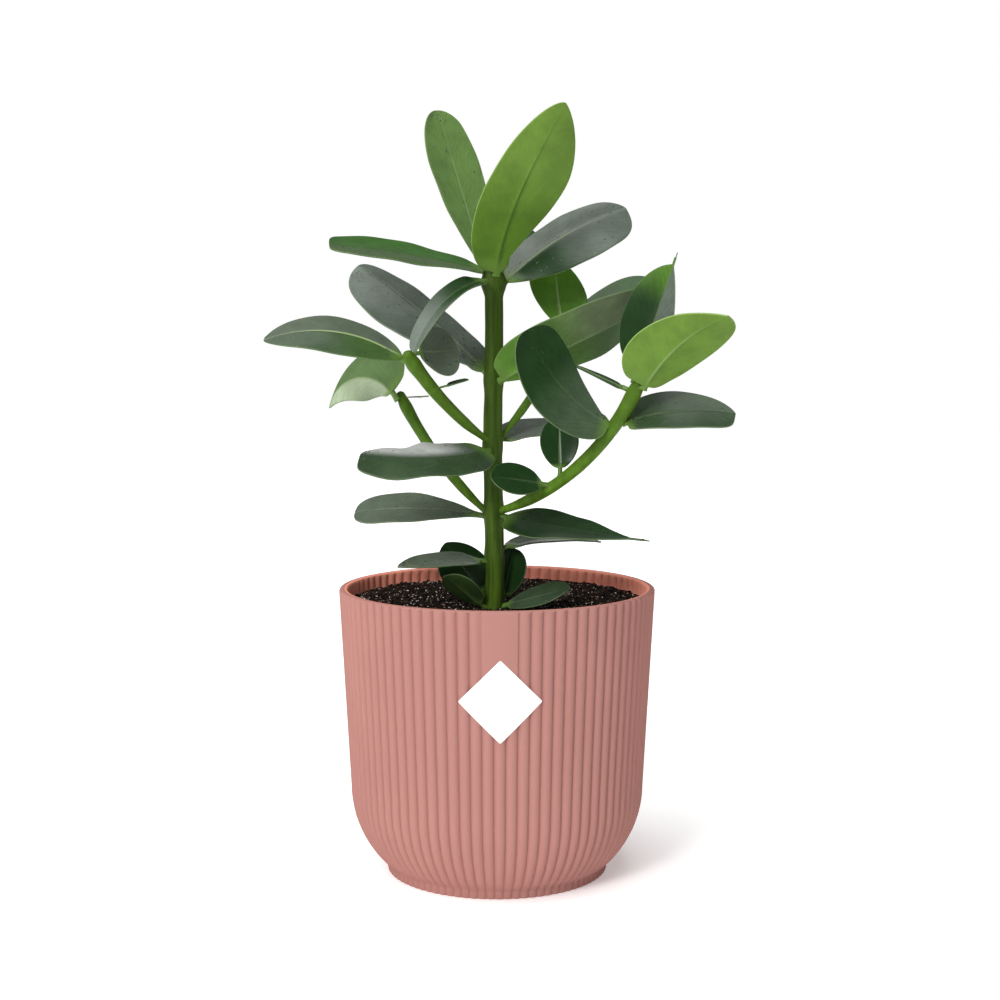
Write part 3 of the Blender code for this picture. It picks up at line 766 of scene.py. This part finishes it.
PATCHES = {
    # parts of a leaf that have another green; "right_base" is where right and base overlap
    "leaf_top_upright_front": (("base", "moss"),),
    "leaf_top_right": (("right_base", "deep"),),
    # painted sheen: grey toward the tip, where the bent leaf mirrors light
    "leaf_top_front": (("tip", "grey"),),
    "leaf_top_left": (("right", "green"),),
    "leaf_left_outer": (("left", "dusk"), ("left_base", "under")),
    "leaf_left_pale": (("right", "pale"),),
    # painted reflection: bright light mirrored on the far half
    "leaf_middle_left": (("right_far", "painted_reflection"),),
    # painted light: a lighter end, lit above a shadow line, and painted sheen in grey on the right
    # half
    "leaf_right_upright": (("end", "leafy"), ("right", "grey")),
    # painted sheen at the base
    "leaf_right_front": (("base", "painted_sheen"),),
    "leaf_upper_right": (("left", "under"), ("base", "leafy")),
}


def green(name):
    return Vector((*GREENS[name], 1))


print(len(GREENS), "greens;", len(PATCHES), "leaves have patches of another green")


# %% [markdown]
# A leaf's body starts as a flat grid that is drawn up into a slab, so it has an upper face, an
# underside and a closed margin.  Every point then takes its place from three numbers: how far it
# is along the leaf, how far across, and on which face.  The blade thins to a rounded margin, the
# stalk is thick, and the midrib is a keel under the leaf and a shallow valley on top.  The two
# halves of a real leaf are seldom alike, so a leaf may have its own powers for each half, and a
# leaf without a stalk keeps some width where it clasps the stem.

# %% Rows and columns of a leaf
HALVES = {
    # right-hand and left-hand half seen from the stalk: base power, tip power, breadth
    "leaf_top_upright_front": ((0.38, 0.62, 0.98), (1.10, 0.72, 1.16)),
    "leaf_top_upright_back": ((0.80, 0.50, 1.02), (0.80, 0.50, 1.02)),
    "leaf_top_right": ((0.55, 0.30, 1.12), (0.55, 0.40, 1.00)),
    "leaf_top_left": ((0.50, 0.22, 0.92), (0.50, 0.25, 1.05)),
    "leaf_top_front": ((0.30, 0.35, 0.90), (0.30, 0.35, 0.90)),
    "leaf_upper_left": ((0.20, 0.30, 0.95), (0.90, 0.42, 1.26)),
    "leaf_upper_right": ((0.34, 0.27, 1.00), (0.80, 0.30, 0.95)),
    "leaf_left_pale": ((0.50, 0.80, 1.00), (0.25, 1.30, 1.45)),
    "leaf_right_front": ((0.95, 0.32, 1.00), (0.45, 0.40, 1.24)),
    "leaf_right_outer": ((0.35, 0.16, 0.95), (0.35, 0.75, 1.05)),
    "leaf_right_light": ((0.36, 1.00, 1.12), (0.55, 0.42, 1.12)),
    "leaf_right_upright": ((0.50, 0.95, 1.15), (0.60, 0.62, 1.12)),
    "leaf_rear_upright": ((0.40, 0.80, 1.00), (0.80, 0.42, 0.95)),
    "leaf_middle_left": ((0.35, 0.50, 1.10), (0.35, 0.16, 0.90)),
    "leaf_lower_right": ((0.40, 1.15, 1.05), (0.50, 1.30, 1.00)),
    "leaf_low_left": ((0.50, 0.75, 0.95), (0.50, 0.75, 0.95)),
}
WINGS = {
    # width at the stalk as a share of the widest
    "leaf_top_upright_front": 0.25, "leaf_top_right": 0.25, "leaf_top_left": 0.3,
    "leaf_upper_left": 0.25, "leaf_left_outer": 0.25, "leaf_right_outer": 0.3,
    "leaf_right_light": 0.2, "leaf_right_front": 0.2,
}
FOLDS = {"leaf_right_upright": 26}
NEEDLES = ("leaf_right_upright", "leaf_lower_right")
FULL_GROWN, STEM_LEAF_STALK, LONGEST_STALK = 45, -1.0, 2.5
ACROSS = (0, 0.015, 0.035, 0.06, 0.1, 0.16, 0.24, 0.33, 0.43, 0.54, 0.65, 0.75, 0.83, 0.9, 0.945,
          0.973, 0.989, 1)
BLADE_STEPS, STALK_STEPS = 56, 8


def blade_share(u):
    """Rows lie closer together at the base and at the tip."""
    return 0.5 * (2 * u) ** 1.9 if u < 0.5 else 1 - 0.5 * (2 - 2 * u) ** 2.6


def outline(s, base, tip, wing):
    """Half width as a share of the widest, from the two powers and the width at the stalk."""
    peak = base / (base + tip)
    swell = (s / peak) ** base * ((1 - s) / (1 - peak)) ** tip if s < 1 else 0
    rounded = wing * min(s / 0.05, 1) ** 0.5
    return max(swell, rounded) if s < peak else swell


def leaf_rows(leaf):
    """Reach along the line, share of the blade and both half widths of every row, in mm."""
    name, form = leaf["name"], FORMS[leaf["form"]]
    stalk = STEM_LEAF_STALK if name in WINGS else min(form[3], LONGEST_STALK)
    whole = form[3] + leaf["length"]
    small = min(1, leaf["length"] / FULL_GROWN)
    needle = name in NEEDLES
    rows = []
    for k in range(STALK_STEPS):
        t = k / STALK_STEPS
        half = min((2.7 - 0.5 * smooth_step(0, 0.6, t)) * small, 0.14 * leaf["width"])
        rows.append(((stalk + 3.5 * small) * t - 3.5 * small, 0.0, (half, half)))
    plain = (*form[:2], 1)
    for k in range(BLADE_STEPS + 1):
        s = blade_share(k / BLADE_STEPS)
        halves = []
        for base, tip, breadth in HALVES.get(name, (plain, plain)):
            half = outline(min(s / 0.9, 1) if needle else s, base, tip, WINGS.get(name, 0.15))
            half = max(half * breadth * leaf["width"] / 2, 0.8 if needle and s < 0.96 else 0)
            stem_end = min(2.2 * small, 0.14 * leaf["width"]) * (1 - smooth_step(0.0, 0.4, s))
            halves.append(max(math.hypot(half, stem_end), 0.3))
        rows.append((stalk + (whole - stalk) * s, s, tuple(halves)))
    return rows


print("a leaf has", STALK_STEPS + BLADE_STEPS + 1, "rows of", 2 * len(ACROSS) - 1, "points a side")

# %% The place of every point of a leaf
class Blade:
    """Where a leaf's points lie, from a row, a place across and a face."""

    def __init__(self, leaf):
        self.leaf = leaf
        name, host, place = leaf["name"], leaf["host"], leaf["place"]
        if host == "main_stem":
            point, axis = Vector((STEM_X, 0, place * MM)), Vector((0, 0, 1))
            radius = stem_r(place * MM)
        else:
            low, high = BRANCHES[host][-2:]
            line = branch_lines[host]
            point, axis = line.point(place), line.direction(place)
            radius = (low + (high - low) * place) * MM
        self.lobe, self.stalk = FORMS[leaf["form"]][2:]
        self.whole = self.stalk + leaf["length"]
        start = leave_host(point, axis, radius, heading(leaf["azimuth"], leaf["rise"]), 1.65 * MM)
        self.line = BentLine(start, leaf["azimuth"], leaf["rise"], leaf["bend"], leaf["swerve"],
                             self.whole * MM)
        (self.upper, self.under, self.cup, self.ripple, self.midrib,
         self.drops) = LOOKS.get(name, PLAIN_LOOK)
        self.fold = FOLDS.get(name, leaf["fold"])
        self.seed = sum(map(ord, name)) % 97
        self.rows = leaf_rows(leaf)
        self.frames = {reach: (self.line.point(reach / self.whole), self.line.frame(
            reach / self.whole, leaf["roll"] + leaf["twist"] * s)) for reach, s, _ in self.rows}

    def tint(self, s, aside, face):
        """Colour of a face, with the leaf's patches of other greens, some of them painted sheen and
        painted light.
        """
        colour = green(self.upper if face > 0 else self.under)
        for where, other in PATCHES.get(self.leaf["name"], ()):
            covers = {"tip": smooth_step(0.35, 0.8, s), "end": smooth_step(0.52, 0.88, s),
                      "base": smooth_step(0.7, 0.25, s),
                      "right": smooth_step(0.6, -1.2, aside), "left": smooth_step(-0.6, 1.2, aside),
                      "far": smooth_step(0, 12, abs(aside)) * smooth_step(0.05, 0.4, s)}
            cover = math.prod(covers[part] for part in where.split("_"))
            colour = colour.lerp(green(other), cover)
        return colour

    def thickness(self, s, across, half):
        """Height of the upper face and depth of the underside from the middle, in mm."""
        blade = smooth_step(0, 0.12, s) if s > 0 else 0
        small = min(1, self.leaf["length"] / 30)
        full = (1.35 * (1 - blade) + 0.5 * blade) * small
        edge = half * (1 - blade) + 0.55 * blade
        d = min((1 - abs(across)) * half / max(edge, 0.01), 1)
        shell = max(full * math.sqrt(max(0, 1 - (1 - d) ** 2)), 0.06)
        aside = abs(across) * half
        keel = 1.5 * (1 - s) ** 1.3 * blade * small
        keel *= math.exp(-(aside / (1.5 - 0.7 * s)) ** 2)
        valley = 0.28 * (1 - 0.6 * s) * blade * math.exp(-(aside / 0.55) ** 2)
        return shell - valley, shell + keel

    def camber(self, s, across, half, reach):
        """How far the middle of the blade's thickness lies above the flat leaf, in mm."""
        fold = math.sin(math.radians(self.fold))
        bent = half * fold * (math.sqrt(across * across + 0.02) - 0.14) * smooth_step(0, 0.15, s)
        grown = min(1, half / max(0.35 * self.leaf["width"], 1)) * smooth_step(0, 0.15, s)
        cup = self.cup * across * across * grown
        side = 1 if across > 0 else 2.3
        wave = math.sin(reach / 9.0 + side + self.seed) + 0.5 * math.sin(reach / 4.3 + 2 * side)
        return bent + cup + self.ripple * wave * abs(across) ** 2.5 * grown

    def point(self, row, across, face):
        reach, s, halves = row
        half = halves[across > 0]
        middle, (forward, side, upper) = self.frames[reach]
        above, below = self.thickness(s, across, half)
        lift = self.camber(s, across, half, reach) + (above if face > 0 else -below)
        back = 0.2 * abs(across) * self.lobe * (1 - s) ** 4 * smooth_step(0, 0.03, s)
        aside = across * half * math.cos(math.radians(self.fold))
        return middle + (side * aside + upper * lift - forward * back) * MM


# %% Draw up a leaf
def draw_leaf(blade):
    columns = [-a for a in ACROSS[:0:-1]] + list(ACROSS)
    bm = bmesh.new()
    steps_x, steps_y = len(blade.rows) - 1, len(columns) - 1
    bmesh.ops.create_grid(bm, x_segments=steps_x, y_segments=steps_y, size=0.5)
    raised = bmesh.ops.extrude_face_region(bm, geom=bm.faces[:])["geom"]
    bmesh.ops.translate(bm, verts=[g for g in raised if isinstance(g, bmesh.types.BMVert)],
                        vec=(0, 0, 1))
    spot = bm.verts.layers.float_vector.new("leaf_spot")
    edge = bm.verts.layers.float_vector.new("leaf_edge")
    tint = bm.verts.layers.float_color.new("leaf_tint")
    for vert in bm.verts:
        row = blade.rows[round((vert.co.x + 0.5) * steps_x)]
        across = columns[round((vert.co.y + 0.5) * steps_y)]
        face = 1 if vert.co.z > 0.5 else -1
        reach, s, halves = row
        half = halves[across > 0]
        vert[spot] = (reach, across * half, s)
        vert[edge] = ((1 - abs(across)) * half, max(face, 0), blade.midrib)
        vert[tint] = blade.tint(s, across * half, face)
        vert.co = blade.point(row, across, face)
    bmesh.ops.recalc_face_normals(bm, faces=bm.faces)
    return bm


# %% [markdown]
# The wax makes the upper face glossy, while the underside is dull.  Fine veins run slanting from
# the midrib to the margin, the midrib is paler or darker than the blade, the darker one partly
# painted shade along its groove, and the margin is a thin pale line of gristle.  All of them follow
# the leaf and not the room, so they read the numbers that each point of the leaf carries: how far
# along, how far across, and how far from the margin, in millimetres.

# %% Veins, midrib and margin of a leaf
# painted shade, in part: MIDRIB_DARK darkens the midrib as the shade along its groove does
MIDRIB_PALE, MIDRIB_DARK = (0.27, 0.36, 0.16, 1), (0.02, 0.06, 0.005, 1)
STALK_GREEN = (0.11, 0.2, 0.035, 1)
VEIN_SLANT, DULL = -1.7, 0.7


def slanting_veins(f, reach, aside, off):
    """Noise that is drawn out along lines slanting from the midrib to the margin."""
    along = f.math("ADD", reach, f.math("MULTIPLY", off, VEIN_SLANT))
    drawn = f.node("ShaderNodeCombineXYZ")
    f.join(f.math("MULTIPLY", along, 1.3), drawn.inputs[0])
    f.join(f.math("MULTIPLY", off, 0.22), drawn.inputs[1])
    f.join(f.math("SIGN", aside), drawn.inputs[2])
    return f.noise(drawn.outputs[0], 1.0, 3.0, 0.6)


def with_midrib(f, body, off, share, rib):
    """The midrib is paler than the blade where rib is above zero, and darker, partly as painted
    shade, where it is below.
    """
    width = f.mask(share, 0.0, 1.0, 1.3, 0.3)
    on_rib = f.mask(off, f.math("MULTIPLY", width, 0.3), width, 1.0, 0.0)
    on_rib = f.math("MULTIPLY", on_rib, f.mask(share, 0.5, 1.0, 1.0, 0.2))
    pale = f.math("MAXIMUM", rib, 0.0)
    dark = f.math("MAXIMUM", f.math("MULTIPLY", rib, -1.0), 0.0)
    body = f.blend(f.math("MULTIPLY", on_rib, pale), body, MIDRIB_PALE)
    return f.blend(f.math("MULTIPLY", on_rib, dark), body, MIDRIB_DARK)


# %% Waxy leaf
def waxy_leaf(name, roughness, specular, veins, rim_colour):
    f = Finish(name, roughness=roughness, specular=specular)
    place = f.object_place()
    reach, aside, share = f.split(f.painted("leaf_spot").outputs["Vector"])
    margin, upper, rib = f.split(f.painted("leaf_edge").outputs["Vector"])
    off = f.math("ABSOLUTE", aside)

    vein = slanting_veins(f, reach, aside, off)
    mottle = f.mask(f.noise(place, 70.0, 4.0, 0.6), 0.3, 0.72, 0.88, 1.14)
    grain = f.mask(vein, 0.3, 0.7, 1 - veins, 1 + veins)
    # leaf_tint holds each leaf's greens, painted sheen and painted light among them
    body = f.scaled(f.painted("leaf_tint").outputs["Color"], f.math("MULTIPLY", mottle, grain))
    body = with_midrib(f, body, off, share, rib)
    rim = f.math("MULTIPLY", f.mask(margin, 0.15, 0.45, 1.0, 0.0), f.mask(share, 0.0, 0.04))
    body = f.blend(f.math("MULTIPLY", rim, 0.6), body, rim_colour)
    f.colour(f.blend(f.mask(share, 0.0, 0.12, 0.8, 0.0), body, STALK_GREEN))

    f.join(f.mask(upper, 0.2, 0.8, DULL, roughness), f.shader.inputs["Roughness"])
    height = f.math("ADD", f.math("MULTIPLY", vein, 0.8),
                    f.math("MULTIPLY", f.noise(place, 250.0, 2.0), 0.4))
    f.bump(height, 0.18, 0.0003)
    return f.material


leaf_wax = waxy_leaf("leaf_wax", 0.26, 0.25, 0.16, (0.12, 0.18, 0.07, 1))
young_wax = waxy_leaf("young_leaf_wax", 0.5, 0.15, 0.07, (0.3, 0.42, 0.14, 1))
YOUNG = ("leaf_top_upright_front", "leaf_right_light")

# %% All the leaves, each checked against its measured solid
def off_its_box(piece, node):
    """The largest distance between a side of a piece's box and that of its measured solid."""
    low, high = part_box(node)
    spots = [vert.co for vert in piece.data.vertices]
    return max(max(abs(min(spot[i] for spot in spots) - low[i]),
                   abs(max(spot[i] for spot in spots) - high[i])) for i in range(3))


blades = {name: Blade(leaf) for name, leaf in leaves.items()}
apart = {}
for name, blade in blades.items():
    young = name in YOUNG
    piece = put_in_scene("grown_" + name, draw_leaf(blade), young_wax if young else leaf_wax,
                         name, sharp=180)
    apart[name] = off_its_box(piece, name)
worst = max(apart, key=apart.get)
print("leaves differ from their measured boxes by at most", round(apart[worst] / MM, 1), "mm:",
      worst)

# %% [markdown]
# The plant was sprayed, and drops of water cling to the upper faces, drawn out along the leaf.  A
# drop is painted a dark green and carries none of the painted sheen that many leaves have, so it
# looks darker than the leaf around it and has a sharp gloss.
# Bumps in the leaf's finish would have no outline, so each drop is a small ball of few faces,
# pressed flat and half sunk into the leaf.

# %% Drops of water
BARE_ROWS, BARE_EDGE, DROP_SIZES = 8, 0.85, (0.2 * MM, 0.38 * MM)


def drops_on(blade, count, seed):
    rng = random.Random(seed)
    bm = bmesh.new()
    for _ in range(count):
        row = blade.rows[rng.randrange(STALK_STEPS + BARE_ROWS, len(blade.rows) - BARE_ROWS)]
        across = rng.uniform(-BARE_EDGE, BARE_EDGE)
        _, (forward, side, upper) = blade.frames[row[0]]
        place = blade.point(row, across, 1)
        turn = Matrix((forward, side, upper)).transposed().to_4x4()
        spin = Matrix.Rotation(rng.uniform(-0.5, 0.5), 4, "Z")
        size = rng.uniform(*DROP_SIZES)
        shape = Matrix.Diagonal((rng.uniform(1.2, 4.0), rng.uniform(0.8, 1.1), 0.5, 1))
        bmesh.ops.create_icosphere(bm, subdivisions=2, radius=size,
                                   matrix=Matrix.Translation(place) @ turn @ spin @ shape)
    return bm


def water():
    f = Finish("water_drops", roughness=0.04, specular=0.5, coat=0.6, coat_roughness=0.02)
    f.colour((0.012, 0.03, 0.016, 1))
    return f.material


wet = water()
for number, (name, blade) in enumerate(blades.items()):
    if blade.drops:
        put_in_scene("drops_" + name.removeprefix("leaf_"), drops_on(blade, blade.drops, number),
                     wet, sharp=180)
print("drops on", sum(bool(blade.drops) for blade in blades.values()), "leaves")

# %% [markdown]
# The pot stands on a plain pale floor under soft light.  The floor glows a little, so it stays
# pale right up to the pot and lights the plant from below, and only a soft shadow shows on it.

# %% Floor
def floor():
    bm = bmesh.new()
    bmesh.ops.create_grid(bm, x_segments=1, y_segments=1, size=4)
    mesh = bpy.data.meshes.new("floor")
    bm.to_mesh(mesh)
    bm.free()
    f = Finish("pale_floor", roughness=0.7)
    f.colour((0.97, 0.97, 0.97, 1))
    f.shader.inputs["Emission Color"].default_value = (1, 1, 1, 1)
    f.shader.inputs["Emission Strength"].default_value = 0.27
    mesh.materials.append(f.material)
    sheet = bpy.data.objects.new("floor", mesh)
    bpy.context.scene.collection.objects.link(sheet)
    print("floor", round(sheet.dimensions.x), "m wide")


floor()

# %% [markdown]
# One round lamp stands in front on the left and gives the ribs their shade.  Broad light from
# above, tipped a little to the front and to the left, lights the leaves' upper faces.  A ring of
# lamps would light the plant from all sides, but then waxy leaves turn milky and ribs go flat.

# %% Lamps
def lamp(name, place, aim, size, power):
    data = bpy.data.lights.new(name, "AREA")
    data.shape, data.size, data.energy = "DISK", size, power
    shining = bpy.data.objects.new(name, data)
    shining.location = place
    shining.rotation_euler = (Vector(aim) - Vector(place)).to_track_quat("-Z", "Y").to_euler()
    bpy.context.scene.collection.objects.link(shining)


def skylight(name, tilt, softness, strength):
    """Soft light from far above, so the whole floor is lit alike."""
    data = bpy.data.lights.new(name, "SUN")
    data.angle, data.energy = math.radians(softness), strength
    shining = bpy.data.objects.new(name, data)
    shining.rotation_euler = [math.radians(a) for a in tilt]
    bpy.context.scene.collection.objects.link(shining)


lamp("key", (-0.75, -1.5, 1.1), (0, 0, 0.15), 0.5, 17)
skylight("top", (14, -18, 0), 70, 2.7)
print(len(bpy.data.lights), "lights")

# %% [markdown]
# A white wall stands far behind the plant, low down, as in a studio.  Elsewhere the room is grey,
# so that the waxy leaves have something darker to mirror and keep their deep greens.

# %% Surroundings
def fade_between(tree, value, low, high, first, last):
    made = tree.nodes.new("ShaderNodeMapRange")
    made.interpolation_type = "SMOOTHSTEP"
    tree.links.new(value, made.inputs[0])
    for socket, number in zip(made.inputs[1:5], (low, high, first, last)):
        socket.default_value = number
    return made.outputs[0]


def pale_room(level, wall):
    """Surroundings that are a white wall behind the plant and a dimmer room elsewhere."""
    world = bpy.data.worlds.new("pale_room")
    world.use_nodes = True
    tree = world.node_tree
    background = tree.nodes["Background"]
    background.inputs["Color"].default_value = (1, 1, 1, 1)
    where = tree.nodes.new("ShaderNodeTexCoord")
    split = tree.nodes.new("ShaderNodeSeparateXYZ")
    tree.links.new(where.outputs["Generated"], split.inputs[0])
    low = fade_between(tree, split.outputs[2], 0.2, 0.28, 1.0, 0.0)
    behind = fade_between(tree, split.outputs[1], 0.84, 0.92, 0.0, 1.0)
    both = tree.nodes.new("ShaderNodeMath")
    both.operation = "MULTIPLY"
    tree.links.new(low, both.inputs[0])
    tree.links.new(behind, both.inputs[1])
    strength = fade_between(tree, both.outputs[0], 0.0, 1.0, level, wall)
    tree.links.new(strength, background.inputs["Strength"])
    bpy.context.scene.world = world
    print("room", level, "wall", wall)


pale_room(level=0.26, wall=1.0)
bpy.context.scene.view_settings.view_transform = "Standard"

# %% [markdown]
# The camera stands a metre in front of the pot, a little above the middle of the plant, and looks
# down by some six degrees.  A short telephoto keeps the upright lines nearly straight.

# %% Camera
EYE, LOOK_DOWN, LENS, SENSOR = (1.7 * MM, -1.0, 315.6 * MM), 5.74, 62.9, 36
eye = bpy.data.cameras.new("eye")
eye.sensor_width, eye.lens = SENSOR, LENS
viewer = bpy.data.objects.new("eye", eye)
viewer.location = EYE
viewer.rotation_euler = (math.radians(90 - LOOK_DOWN), 0, 0)
bpy.context.scene.collection.objects.link(viewer)
bpy.context.scene.camera = viewer
print("camera looks down by", LOOK_DOWN, "degrees")
